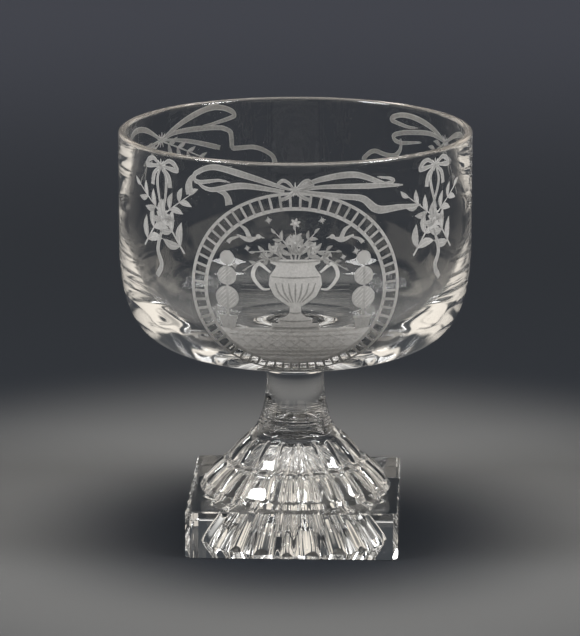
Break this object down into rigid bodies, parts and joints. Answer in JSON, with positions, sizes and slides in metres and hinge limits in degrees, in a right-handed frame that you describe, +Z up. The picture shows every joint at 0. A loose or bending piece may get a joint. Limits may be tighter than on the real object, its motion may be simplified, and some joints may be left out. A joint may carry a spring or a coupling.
{
  "type": "drinking glass",
  "caption": "Clear glass rummer: wide round-bottomed bowl on a short stem, a fluted two-tier dome foot and a thick square plinth with a ribbed hollow below.",
  "frame": {"origin": "centre of the underside of the square plinth, on the surface that the glass stands on", "axes": "+Z up along the axis of the bowl and stem; X and Y square to the plinth's sides; -Y is the side with the engraved oval"},
  "size_m": [0.115, 0.115, 0.1354],
  "materials": {
    "clear_glass": "polished, clear, faintly grey",
    "engraved_glass": "wheel-engraved, matt, grey-white"
  },
  "bodies": {
    "root": {"bowl": "clear_glass", "stem": "clear_glass", "join_wafer": "clear_glass", "fluted_dome": "clear_glass", "square_plinth": "clear_glass"}
  },
  "joints": []
}
